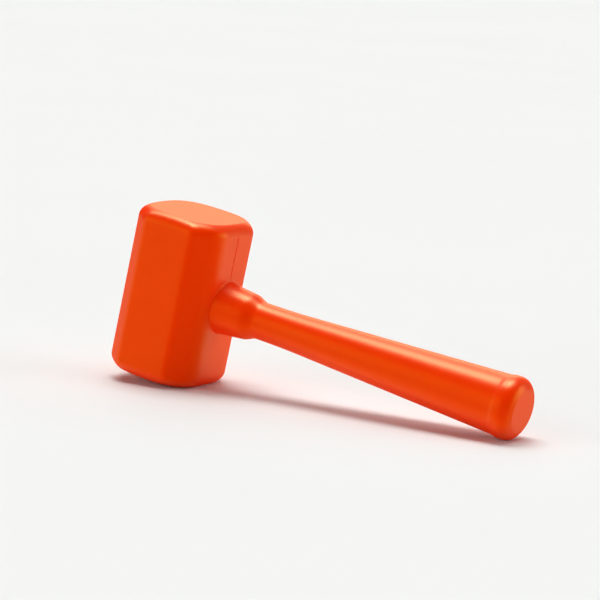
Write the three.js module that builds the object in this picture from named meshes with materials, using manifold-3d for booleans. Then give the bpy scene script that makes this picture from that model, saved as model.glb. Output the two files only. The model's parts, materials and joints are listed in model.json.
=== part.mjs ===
// Dead blow hammer: a cast polyurethane casing over a steel skeleton, with loose steel shot in the head.
// Millimetres, +Z up. The hammer lies as it rests on a bench, on the head's lower edge and the butt's rim.
// The origin is on the bench, under the middle of the hammer's length. The handle runs towards +X.
import * as THREE from 'three';
import { mergeVertices } from 'three/addons/utils/BufferGeometryUtils.js';
import Module from 'manifold-3d';

// Head: an octagonal prism along the strike axis, with rounded corners and rounded ends
const HEAD_LENGTH = 100;
const HEAD_WIDTH = 62.5;
const HEAD_DEPTH = 61;
const HEAD_CORNER_CUT = 13;
const HEAD_CORNER_RADIUS = 13;
const HEAD_END_RADIUS = 5;

// Neck and handle: round about the handle axis, measured from the head's axis or its handle-side panel
const HANDLE_REACH = 233;
const NECK_ROOT_RADIUS = 15.6;
const NECK_END_RADIUS = 13.9;
const NECK_LENGTH = 18;
const NECK_FILLET = 2;
const SHOULDER_LENGTH = 9;
const WAIST_RADIUS = 11.1;
const WAIST_LENGTH = 17;
const BUTT_RADIUS = 18.7;
const BUTT_EDGE_RADIUS = 6;

// Casing: two halves that meet on the hammer's middle plane, and the plug that closes the butt
const PARTING_GAP = 0.3;
const FACE_THICKNESS = 11;
const PLUG_SETBACK = 0.5;
const PLUG_THICKNESS = 4;
const PLUG_CHAMFER = 0.6;

// Shot canister: a tube with a flanged cap pressed into each end
const CANISTER_RADIUS = 22;
const CANISTER_WALL = 2.5;
const CAP_FLANGE = 2.5;
const CAP_SPIGOT = 4;
const FILL_PLUG_RADIUS = 5;
const FILL_PLUG_HEAD = 1.5;
const FILL_PLUG_LIP = 1.2;

// Handle rod, the socket that holds it to the canister, and the collars that key it into the casing
const ROD_RADIUS = 7;
const ROD_END_COVER = 14;
const ROD_CHAMFER = 1;
const SOCKET_WALL = 3.2;
const SOCKET_SETBACK = 2;
const PIN_RADIUS = 2.5;
const PIN_SETBACK = 0.6;
const COLLAR_COUNT = 4;
const COLLAR_WALL = 2.5;
const COLLAR_WIDTH = 6;

// Shot: layers of balls, each ball joined to its neighbours in the layer
const SHOT_DIAMETER = 8;
const SHOT_OVERLAP = 0.3;
const SHOT_FILL = 0.72;

// Clearance between pieces that fit each other
const FIT_GAP = 0.3;

// Fineness of round surfaces
const ROUND_SEGMENTS = 36;
const SMALL_SEGMENTS = 20;
const ARC_STEPS = 4;

// Places worked out from the sizes above, on the handle axis (X) and the strike axis (Z)
const panelX = HEAD_DEPTH / 2;
const socketEndX = panelX + NECK_LENGTH - SOCKET_SETBACK;
const socketRadius = ROD_RADIUS + FIT_GAP + SOCKET_WALL;
const rodStartX = CANISTER_RADIUS + FIT_GAP;
const rodEndX = HANDLE_REACH - ROD_END_COVER;
const pinX = (rodStartX + socketEndX) / 2;
const plugRadius = BUTT_RADIUS - BUTT_EDGE_RADIUS - PLUG_SETBACK;
const plugInnerX = HANDLE_REACH - PLUG_THICKNESS;
const canisterHalf = HEAD_LENGTH / 2 - FACE_THICKNESS;
const tubeHalf = canisterHalf - CAP_FLANGE - FIT_GAP;
const boreRadius = CANISTER_RADIUS - CANISTER_WALL;
const chamberHalf = canisterHalf - CAP_FLANGE - CAP_SPIGOT;

// Each ball is an icosahedron: the ratios of its middle and inner radius to its outer radius
const GOLDEN = (1 + Math.sqrt(5)) / 2;
const MIDDLE_RATIO = GOLDEN ** 2 / Math.hypot(1, GOLDEN) / GOLDEN;
const INNER_RATIO = GOLDEN ** 2 / Math.sqrt(3) / Math.hypot(1, GOLDEN);
const ballOuterRadius = SHOT_DIAMETER / 2 / MIDDLE_RATIO;
const ballHalfHeight = ballOuterRadius * INNER_RATIO;
const shotSpacing = SHOT_DIAMETER - SHOT_OVERLAP;
const layerPitch = 2 * ballHalfHeight + FIT_GAP;
const layerCount = Math.floor((SHOT_FILL * 2 * chamberHalf) / layerPitch);

const wasm = await Module();
wasm.setup();

// A closed geometry as a solid that can be joined and cut, without the empty triangles at a lathe's poles.
function toSolid(geometry) {
  const bare = geometry.clone();
  bare.deleteAttribute('normal');
  bare.deleteAttribute('uv');
  const merged = mergeVertices(bare);
  const corners = merged.index.array;
  const triangles = [];
  for (let i = 0; i < corners.length; i += 3) {
    const [a, b, c] = corners.slice(i, i + 3);
    if (a !== b && b !== c && c !== a) {
      triangles.push(a, b, c);
    }
  }
  return new wasm.Manifold(new wasm.Mesh({
    numProp: 3,
    vertProperties: new Float32Array(merged.attributes.position.array),
    triVerts: new Uint32Array(triangles),
  }));
}

// A solid as a geometry.
function toGeometry(solid) {
  const { vertProperties, triVerts } = solid.getMesh();
  const geometry = new THREE.BufferGeometry();
  geometry.setAttribute('position', new THREE.BufferAttribute(vertProperties, 3));
  geometry.setIndex(new THREE.BufferAttribute(triVerts, 1));
  geometry.computeVertexNormals();
  return geometry;
}

// Joins solids into one.
function join(solids) {
  return solids.reduce((whole, solid) => whole.add(solid));
}

// Turns a profile of [radius, height] points about the strike axis.
function turnAboutStrike(profile, segments = ROUND_SEGMENTS) {
  const points = profile.map(([radius, height]) => new THREE.Vector2(radius, height));
  return new THREE.LatheGeometry(points, segments).rotateX(Math.PI / 2);
}

// Turns a profile of [radius, distance] points about the handle axis.
function turnAboutHandle(profile, segments = SMALL_SEGMENTS) {
  const points = profile.map(([radius, distance]) => new THREE.Vector2(radius, distance));
  return new THREE.LatheGeometry(points, segments).rotateZ(-Math.PI / 2);
}

// A plain round bar's profile between two stations.
function barProfile(radius, start, end) {
  return [[0, start], [radius, start], [radius, end], [0, end]];
}

// A ring's profile between two stations, which closes on itself.
function ringProfile(inner, outer, start, end) {
  return [[inner, start], [outer, start], [outer, end], [inner, end], [inner, start]];
}

// Fractions from just above 0 to 1, for the steps of a curve.
function steps(count) {
  return Array.from({ length: count }, (_, i) => (i + 1) / count);
}

// The head's section: each corner of an octagon is rounded, by no more than its sides leave room for.
function headSection() {
  const halfX = HEAD_DEPTH / 2;
  const halfY = HEAD_WIDTH / 2;
  const cutX = halfX - HEAD_CORNER_CUT;
  const cutY = halfY - HEAD_CORNER_CUT;
  const cornerTurn = Math.PI / 4;
  const corners = [
    [halfX, -cutY], [halfX, cutY], [cutX, halfY], [-cutX, halfY],
    [-halfX, cutY], [-halfX, -cutY], [-cutX, -halfY], [cutX, -halfY],
  ].map(([x, y]) => new THREE.Vector2(x, y));
  const shape = new THREE.Shape();
  corners.forEach((corner, i) => {
    const before = corners[(i + corners.length - 1) % corners.length];
    const after = corners[(i + 1) % corners.length];
    const room = Math.min(corner.distanceTo(before), corner.distanceTo(after)) / 2;
    const reach = Math.min(HEAD_CORNER_RADIUS * Math.tan(cornerTurn / 2), room);
    const start = corner.clone().lerp(before, reach / corner.distanceTo(before));
    const end = corner.clone().lerp(after, reach / corner.distanceTo(after));
    if (i === 0) {
      shape.moveTo(start.x, start.y);
    } else {
      shape.lineTo(start.x, start.y);
    }
    shape.quadraticCurveTo(corner.x, corner.y, end.x, end.y);
  });
  shape.closePath();
  return shape;
}

// The head without its hollow: the section drawn along the strike axis, rounded over at both ends.
function headBlock() {
  const block = new THREE.ExtrudeGeometry(headSection(), {
    depth: HEAD_LENGTH - 2 * HEAD_END_RADIUS,
    curveSegments: ARC_STEPS,
    bevelEnabled: true,
    bevelThickness: HEAD_END_RADIUS,
    bevelSize: HEAD_END_RADIUS,
    bevelOffset: -HEAD_END_RADIUS,
    bevelSegments: ARC_STEPS,
  });
  return block.translate(0, 0, HEAD_END_RADIUS - HEAD_LENGTH / 2);
}

// The handle without its hollow: fillet at the panel, neck, soft shoulder, waist, tapered grip, round butt.
function handleBar() {
  const footRadius = NECK_ROOT_RADIUS + NECK_FILLET;
  const neckEndX = panelX + NECK_LENGTH;
  const waistX = neckEndX + SHOULDER_LENGTH;
  const gripX = waistX + WAIST_LENGTH;
  const buttEdgeX = HANDLE_REACH - BUTT_EDGE_RADIUS;
  const profile = [[0, 0], [footRadius, 0], [footRadius, panelX]];
  for (const t of steps(ARC_STEPS)) {
    const turn = t * Math.PI / 2;
    profile.push([
      footRadius - NECK_FILLET * Math.sin(turn),
      panelX + NECK_FILLET * (1 - Math.cos(turn)),
    ]);
  }
  profile.push([NECK_END_RADIUS, neckEndX]);
  for (const t of steps(ARC_STEPS)) {
    const ease = t * t * (3 - 2 * t);
    profile.push([
      NECK_END_RADIUS + (WAIST_RADIUS - NECK_END_RADIUS) * ease,
      neckEndX + SHOULDER_LENGTH * t,
    ]);
  }
  profile.push([WAIST_RADIUS, gripX], [BUTT_RADIUS, buttEdgeX]);
  for (const t of steps(ARC_STEPS)) {
    const turn = t * Math.PI / 2;
    profile.push([
      BUTT_RADIUS - BUTT_EDGE_RADIUS * (1 - Math.cos(turn)),
      buttEdgeX + BUTT_EDGE_RADIUS * Math.sin(turn),
    ]);
  }
  profile.push([0, HANDLE_REACH]);
  return turnAboutHandle(profile, ROUND_SEGMENTS);
}

// The middle of each collar, spaced evenly between the socket and the rod's end.
function collarStations() {
  const room = rodEndX - socketEndX;
  return Array.from({ length: COLLAR_COUNT }, (_, i) => socketEndX + room * (i + 1) / (COLLAR_COUNT + 1));
}

// The space that the skeleton takes up in the casing, with its clearance.
function skeletonSpace() {
  const collarRadius = ROD_RADIUS + FIT_GAP + COLLAR_WALL + FIT_GAP;
  const collarReach = COLLAR_WIDTH / 2 + FIT_GAP;
  const canisterReach = canisterHalf + FIT_GAP;
  const plugSeat = barProfile(plugRadius + FIT_GAP, plugInnerX - FIT_GAP, HANDLE_REACH + FIT_GAP);
  const collarSeats = collarStations().map(
    (x) => barProfile(collarRadius, x - collarReach, x + collarReach),
  );
  const spaces = [
    turnAboutStrike(barProfile(CANISTER_RADIUS + FIT_GAP, -canisterReach, canisterReach)),
    turnAboutHandle(barProfile(socketRadius + FIT_GAP, 0, socketEndX + FIT_GAP)),
    turnAboutHandle(barProfile(ROD_RADIUS + FIT_GAP, 0, HANDLE_REACH - PLUG_THICKNESS / 2)),
    turnAboutHandle(plugSeat, ROUND_SEGMENTS),
    ...collarSeats.map((seat) => turnAboutHandle(seat)),
  ];
  return join(spaces.map(toSolid));
}

// One half of the casing: side is 1 for the half at +Y, and -1 for the half at -Y.
function casingHalf(casing, side) {
  const reach = 2 * (HANDLE_REACH + HEAD_LENGTH + HEAD_WIDTH);
  const room = new THREE.BoxGeometry(reach, reach, reach).translate(0, side * (reach + PARTING_GAP) / 2, 0);
  return toGeometry(casing.intersect(toSolid(room)));
}

// The butt's plug: a disc flush with the butt, on a stem that fills the rod's bore up to the rod's end.
function buttPlug() {
  const stemStart = rodEndX + FIT_GAP;
  return turnAboutHandle([
    [0, stemStart], [ROD_RADIUS, stemStart], [ROD_RADIUS, plugInnerX], [plugRadius, plugInnerX],
    [plugRadius, HANDLE_REACH - PLUG_CHAMFER], [plugRadius - PLUG_CHAMFER, HANDLE_REACH], [0, HANDLE_REACH],
  ], ROUND_SEGMENTS);
}

// A canister cap, its flange upwards: a disc whose spigot sits in the tube's bore.
function canisterCap() {
  const spigotRadius = boreRadius - FIT_GAP;
  return turnAboutStrike([
    [0, chamberHalf], [spigotRadius, chamberHalf], [spigotRadius, canisterHalf - CAP_FLANGE],
    [CANISTER_RADIUS, canisterHalf - CAP_FLANGE], [CANISTER_RADIUS, canisterHalf], [0, canisterHalf],
  ]);
}

// The plug in the hole that the shot is poured through, grown by a clearance: a shank with a flush head.
function fillPlug(gap) {
  const shank = FILL_PLUG_RADIUS + gap;
  const head = shank + FILL_PLUG_LIP;
  const headStart = canisterHalf - FILL_PLUG_HEAD - gap;
  const overrun = gap > 0 ? FIT_GAP : 0;
  return turnAboutStrike([
    [0, chamberHalf - overrun], [shank, chamberHalf - overrun], [shank, headStart],
    [head, headStart], [head, canisterHalf + overrun], [0, canisterHalf + overrun],
  ], SMALL_SEGMENTS);
}

// The hole or the pin across the socket and the rod.
function crossBar(radius, halfLength) {
  const bar = new THREE.CylinderGeometry(radius, radius, 2 * halfLength, SMALL_SEGMENTS);
  return bar.translate(pinX, 0, 0);
}

// The handle rod, with chamfered ends and the hole for the cross pin.
function handleRod() {
  const bar = turnAboutHandle([
    [0, rodStartX], [ROD_RADIUS - ROD_CHAMFER, rodStartX], [ROD_RADIUS, rodStartX + ROD_CHAMFER],
    [ROD_RADIUS, rodEndX - ROD_CHAMFER], [ROD_RADIUS - ROD_CHAMFER, rodEndX], [0, rodEndX],
  ]);
  return toGeometry(toSolid(bar).subtract(toSolid(crossBar(PIN_RADIUS + FIT_GAP, socketRadius))));
}

// The rod's socket: a tube saddled on the canister, bored for the rod and drilled for the cross pin.
function rodSocket() {
  const boss = toSolid(turnAboutHandle(barProfile(socketRadius, 0, socketEndX)));
  const saddle = barProfile(CANISTER_RADIUS + FIT_GAP, -canisterHalf, canisterHalf);
  const bore = barProfile(ROD_RADIUS + FIT_GAP, 0, socketEndX + FIT_GAP);
  const hole = crossBar(PIN_RADIUS + FIT_GAP, socketRadius + FIT_GAP);
  return toGeometry(boss
    .subtract(toSolid(turnAboutStrike(saddle)))
    .subtract(toSolid(turnAboutHandle(bore)))
    .subtract(toSolid(hole)));
}

// One ball, a face up and a face down, with an edge towards each of its six neighbours in the layer.
function shotBall() {
  const up = new THREE.Vector3(1, 1, 1).normalize();
  const along = new THREE.Vector3(1, -GOLDEN, 1 / GOLDEN).normalize();
  const across = up.clone().cross(along);
  const turn = new THREE.Matrix4().makeBasis(along, across, up).transpose();
  return new THREE.IcosahedronGeometry(ballOuterRadius, 0).applyMatrix4(turn);
}

// The centres of a layer's balls: a triangular lattice in the bore, over the hollows of the layer below.
function ballCentres(layer) {
  const reach = boreRadius - ballOuterRadius - FIT_GAP;
  const shift = (layer % 3) / 3;
  const span = Math.ceil(reach / shotSpacing) * 2;
  const centres = [];
  for (let i = -span; i <= span; i += 1) {
    for (let j = -span; j <= span; j += 1) {
      const x = shotSpacing * (i + shift + (j + shift) / 2);
      const y = shotSpacing * (j + shift) * Math.sqrt(3) / 2;
      if (Math.hypot(x, y) <= reach) {
        centres.push([x, y]);
      }
    }
  }
  return centres;
}

// One layer of shot.
function shotLayer(layer) {
  const ball = shotBall();
  const balls = ballCentres(layer).map(([x, y]) => toSolid(ball.clone().translate(x, y, 0)));
  return toGeometry(join(balls));
}

// The tilt that brings the head's lower edge and the butt's rim onto the bench together.
// It is the slope of the line that touches both rounded edges from below.
function restTilt() {
  const run = HANDLE_REACH - BUTT_EDGE_RADIUS - (HEAD_DEPTH / 2 - HEAD_END_RADIUS);
  const rise = HEAD_LENGTH / 2 - HEAD_END_RADIUS - (BUTT_RADIUS - BUTT_EDGE_RADIUS);
  return Math.atan2(rise, run) + Math.asin((HEAD_END_RADIUS - BUTT_EDGE_RADIUS) / Math.hypot(run, rise));
}

const polyurethane = { color: 0xee4a0c, roughness: 0.4, metalness: 0 };
const drawnSteel = { color: 0x8d9298, roughness: 0.45, metalness: 1 };
const turnedSteel = { color: 0xa4a8ac, roughness: 0.35, metalness: 1 };
const shotSteel = { color: 0x74787c, roughness: 0.3, metalness: 1 };

const hammer = new THREE.Group();

// Adds a named piece, with its own material, to a group.
function addPiece(group, name, geometry, finish) {
  const mesh = new THREE.Mesh(geometry, new THREE.MeshStandardMaterial(finish));
  mesh.name = name;
  group.add(mesh);
  return mesh;
}

// Casing and its plug
const casing = toSolid(headBlock()).add(toSolid(handleBar())).subtract(skeletonSpace());
addPiece(hammer, 'casing_left', casingHalf(casing, 1), polyurethane);
addPiece(hammer, 'casing_right', casingHalf(casing, -1), polyurethane);
addPiece(hammer, 'butt_plug', buttPlug(), polyurethane);

// Canister
const tube = turnAboutStrike(ringProfile(boreRadius, CANISTER_RADIUS, -tubeHalf, tubeHalf));
const drilledCap = toSolid(canisterCap()).subtract(toSolid(fillPlug(FIT_GAP)));
addPiece(hammer, 'canister_tube', tube, drawnSteel);
addPiece(hammer, 'canister_cap_upper', toGeometry(drilledCap), drawnSteel);
addPiece(hammer, 'canister_cap_lower', canisterCap(), drawnSteel).rotation.x = Math.PI;
addPiece(hammer, 'fill_plug', fillPlug(0), turnedSteel);

// Rod, socket, cross pin and collars
addPiece(hammer, 'rod_socket', rodSocket(), drawnSteel);
addPiece(hammer, 'handle_rod', handleRod(), turnedSteel);
addPiece(hammer, 'socket_pin', crossBar(PIN_RADIUS, socketRadius - PIN_SETBACK), turnedSteel);
collarStations().forEach((x, i) => {
  const inner = ROD_RADIUS + FIT_GAP;
  const ring = ringProfile(inner, inner + COLLAR_WALL, -COLLAR_WIDTH / 2, COLLAR_WIDTH / 2);
  addPiece(hammer, `rod_collar_${i + 1}`, turnAboutHandle(ring), turnedSteel).position.x = x;
});

// Shot, lying on the lower cap
const shot = new THREE.Group();
shot.position.z = ballHalfHeight + FIT_GAP - chamberHalf;
hammer.add(shot);
for (let layer = 0; layer < layerCount; layer += 1) {
  addPiece(shot, `shot_layer_${layer + 1}`, shotLayer(layer), shotSteel).position.z = layer * layerPitch;
}

// The hammer tilted to its rest, with the origin on the bench under its middle
hammer.rotation.y = restTilt();
const extent = new THREE.Box3().setFromObject(hammer, true);
hammer.position.set(-(extent.min.x + extent.max.x) / 2, 0, -extent.min.z);

const part = new THREE.Group();
part.add(hammer);

export default part;
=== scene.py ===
"""Dresses the dead blow hammer: cast polyurethane over a steel skeleton, with loose steel shot in the head.

Sizes in the classes are millimetres in the hammer's own axes: X runs along the handle from the middle of the
head, Y across it and Z along the strike axis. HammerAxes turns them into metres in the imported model's frame.
"""

import json
import logging
import math
from dataclasses import dataclass, field
from enum import Enum
from typing import Any, Sequence

import bmesh
import bpy
import numpy as np
from mathutils import Matrix, Vector


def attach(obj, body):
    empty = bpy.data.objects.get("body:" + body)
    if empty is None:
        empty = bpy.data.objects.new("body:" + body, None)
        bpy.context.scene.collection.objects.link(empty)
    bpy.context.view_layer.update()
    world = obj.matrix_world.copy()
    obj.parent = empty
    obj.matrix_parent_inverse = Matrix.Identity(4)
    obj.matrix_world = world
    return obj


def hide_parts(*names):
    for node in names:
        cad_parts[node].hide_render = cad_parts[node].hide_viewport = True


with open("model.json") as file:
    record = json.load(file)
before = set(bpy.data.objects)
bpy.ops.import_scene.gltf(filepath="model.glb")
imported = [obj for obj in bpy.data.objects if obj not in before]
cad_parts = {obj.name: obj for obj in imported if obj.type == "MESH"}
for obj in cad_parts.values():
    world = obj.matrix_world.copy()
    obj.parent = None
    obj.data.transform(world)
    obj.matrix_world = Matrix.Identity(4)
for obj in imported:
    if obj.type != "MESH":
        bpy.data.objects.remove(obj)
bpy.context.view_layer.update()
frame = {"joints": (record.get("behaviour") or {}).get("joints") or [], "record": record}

Array = np.ndarray
log = logging.getLogger("dead_blow_hammer")

MM = 0.001
WELD_M = 1e-6
SMOOTH_BELOW = math.radians(32.0)
# The turn at each corner of the eight-sided head
CORNER_TURN = math.pi / 4.0
# A softened corner: its steps, the most that it takes of a leg, and where the flats beside it are held
SOFT_STEPS = 4
LEG_SHARE = 0.35
FLAT_HOLD = 1.3


class Body(Enum):
    """The moving bodies that pieces ride on."""

    HAMMER = "hammer"
    SHOT = "shot"


class Slot(Enum):
    """The record's material slots."""

    CASING = "casing"
    CANISTER = "canister"
    ROD = "rod"
    SHOT = "shot"


class TurnAxis(Enum):
    """The axes that round pieces are turned about."""

    HANDLE = "handle"
    STRIKE = "strike"


class Side(Enum):
    """The two halves of the casing, by the sign of their Y."""

    LEFT = 1.0
    RIGHT = -1.0


@dataclass(frozen=True)
class HammerAxes:
    """Where the hammer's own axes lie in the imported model's frame.

    Attributes:
        origin: the middle of the head, in metres.
        tilt: the hammer's turn about Y as it rests, in radians.
    """

    origin: Array
    tilt: float

    @classmethod
    def from_frame(cls) -> "HammerAxes":
        """Takes the tilt from the shot's joint, and the origin from the middle of the two striking faces.

        Returns:
            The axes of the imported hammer.
        """
        mounts = {mount["name"]: np.array(mount["pos_m"]) for mount in frame["record"]["mounts"]}
        origin = (mounts["striking_face_upper"] + mounts["striking_face_lower"]) / 2.0
        origin[1] = 0.0
        strike = frame["joints"][0]["axis"]
        return cls(origin, math.atan2(strike[0], strike[2]))

    def to_model(self, points: Array) -> Array:
        """Turns points about Y by the tilt and moves them to the head's place.

        Args:
            points: points in the hammer's axes, in millimetres, with X, Y, Z as the last index.

        Returns:
            The same points in the model's frame, in metres.
        """
        cos, sin = math.cos(self.tilt), math.sin(self.tilt)
        axes = np.array([[cos, 0.0, -sin], [0.0, 1.0, 0.0], [sin, 0.0, cos]])
        return points @ axes * MM + self.origin


def eased(fraction: Array) -> Array:
    """A soft step from 0 to 1: three times the square less twice the cube, held outside that range."""
    held = np.clip(fraction, 0.0, 1.0)
    return held * held * (3.0 - 2.0 * held)


def spaced(length: float, count: int, margin: float) -> Array:
    """Even fractions of a length, with one more close to each end so that shading stays flat between them.

    Args:
        length: the length that is divided, in millimetres.
        count: the number of even steps between the two margins.
        margin: the distance of the first and last inner point from the ends, in millimetres.

    Returns:
        Fractions from 0 to 1.
    """
    inner = np.linspace(margin / length, 1.0 - margin / length, count + 1)
    return np.concatenate([[0.0], inner, [1.0]])


def paired(first: Array | float, second: Array | float) -> Array:
    """Two rows of coordinates as points, where a single number counts for a whole row."""
    return np.stack(np.broadcast_arrays(first, second), axis=-1)


def block(inner: float, outer: float, start: float, stop: float) -> Array:
    """The corners of an oblong section, as radius and station, from the inner start to the inner stop."""
    return np.array([[inner, start], [outer, start], [outer, stop], [inner, stop]])


def softened(corners: Array, radius: float, closed: bool) -> Array:
    """Rounds the corners of a profile.

    Each corner becomes a quadratic curve between two points on its legs, a radius away from it. One more
    point on each leg holds the flat beside it flat.

    Args:
        corners: the profile's corners, as radius and station.
        radius: the reach of each curve along its legs, in millimetres.
        closed: whether the profile closes on itself; if not, its two end points lie on the axis and stay.

    Returns:
        The points of the rounded profile.
    """
    before = np.roll(corners, 1, axis=0) - corners
    after = np.roll(corners, -1, axis=0) - corners
    back_length = np.linalg.norm(before, axis=1, keepdims=True)
    ahead_length = np.linalg.norm(after, axis=1, keepdims=True)
    reach = np.minimum(radius, LEG_SHARE * np.minimum(back_length, ahead_length))
    back = (before / back_length * reach)[:, None, :]
    ahead = (after / ahead_length * reach)[:, None, :]
    step = np.linspace(0.0, 1.0, SOFT_STEPS + 1)[None, :, None]
    middle = corners[:, None, :]
    curve = middle + (1.0 - step) ** 2 * back + step ** 2 * ahead
    held = np.concatenate([middle + FLAT_HOLD * back, curve, middle + FLAT_HOLD * ahead], axis=1)
    if closed:
        points = held.reshape(-1, 2)
        return np.concatenate([points, points[:1]])
    return np.concatenate([corners[:1], held[1:-1].reshape(-1, 2), corners[-1:]])


def turned(profile: Array, axis: TurnAxis, segments: int) -> Array:
    """Turns a profile about an axis: its radius times the sine and cosine of the angle, at its own station.

    Args:
        profile: points as radius and station, in millimetres.
        axis: the axis to turn about.
        segments: the number of steps round the axis.

    Returns:
        A grid of points, one row for each point of the profile, whose last column meets its first.
    """
    angle = np.linspace(0.0, 2.0 * np.pi, segments + 1)
    radius, station = profile[:, :1], profile[:, 1:]
    across = radius * np.cos(angle)
    around = radius * np.sin(angle)
    along = np.broadcast_to(station, across.shape)
    if axis is TurnAxis.HANDLE:
        return np.stack([along, around, across], axis=-1)
    return np.stack([across, around, along], axis=-1)


def grid_quads(rows: int, columns: int, start: int) -> Array:
    """The four corners of each cell of a grid whose points are numbered row by row from start.

    Args:
        rows: the number of the grid's rows.
        columns: the number of its columns.
        start: the number of its first point.

    Returns:
        One row of four point numbers for each cell.
    """
    number = start + np.arange(rows * columns).reshape(rows, columns)
    corners = [number[:-1, :-1], number[:-1, 1:], number[1:, 1:], number[1:, :-1]]
    return np.stack(corners, axis=-1).reshape(-1, 4)


def closed_object(name: str, grids: Sequence[Array], axes: HammerAxes) -> bpy.types.Object:
    """Joins grids of points into one closed mesh.

    Grids that meet hold the same points where they meet, so merging those closes the seams and the poles. An
    edge that is still open is a flat outline and gets one face.

    Args:
        name: the object's name.
        grids: grids of points in the hammer's axes.
        axes: the hammer's axes.

    Returns:
        The new object, at the origin, with its faces outwards.
    """
    counts = [grid.shape[0] * grid.shape[1] for grid in grids]
    starts = np.concatenate([[0], np.cumsum(counts)[:-1]])
    points = np.concatenate([grid.reshape(-1, 3) for grid in grids])
    quads = np.concatenate([grid_quads(*grid.shape[:2], start) for grid, start in zip(grids, starts)])
    mesh = bpy.data.meshes.new(name)
    mesh.from_pydata(axes.to_model(points).tolist(), [], quads.tolist())
    work = bmesh.new()
    work.from_mesh(mesh)
    bmesh.ops.remove_doubles(work, verts=work.verts, dist=WELD_M)
    bmesh.ops.holes_fill(work, edges=[edge for edge in work.edges if edge.is_boundary], sides=0)
    bmesh.ops.recalc_face_normals(work, faces=work.faces)
    work.to_mesh(mesh)
    work.free()
    piece = bpy.data.objects.new(name, mesh)
    bpy.context.scene.collection.objects.link(piece)
    return piece


def cut_away(piece: bpy.types.Object, cutters: Sequence[bpy.types.Object]) -> None:
    """Takes the cutters' space out of a piece, and removes the cutters.

    Args:
        piece: the piece to cut.
        cutters: closed objects.
    """
    for cutter in cutters:
        cut = piece.modifiers.new("cut", "BOOLEAN")
        cut.operation = "DIFFERENCE"
        cut.solver = "EXACT"
        cut.object = cutter
    whole = piece.data
    shown = piece.evaluated_get(bpy.context.evaluated_depsgraph_get())
    piece.data = bpy.data.meshes.new_from_object(shown)
    piece.data.name = piece.name
    piece.modifiers.clear()
    bpy.data.meshes.remove(whole)
    for cutter in cutters:
        bpy.data.meshes.remove(cutter.data)


def set_in_place(piece: bpy.types.Object, nodes: Sequence[str], body: Body,
                 material: bpy.types.Material, crease: float = SMOOTH_BELOW) -> None:
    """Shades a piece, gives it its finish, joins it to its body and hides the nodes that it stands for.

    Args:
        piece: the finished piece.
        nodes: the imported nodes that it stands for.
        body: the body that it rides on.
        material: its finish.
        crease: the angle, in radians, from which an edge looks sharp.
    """
    piece.data.shade_smooth()
    piece.data.set_sharp_from_angle(angle=crease)
    piece.data.materials.clear()
    piece.data.materials.append(material)
    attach(piece, body.value)
    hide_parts(*nodes)
    log.info("%s: %d faces, rides on %s", piece.name, len(piece.data.polygons), body.value)


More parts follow.
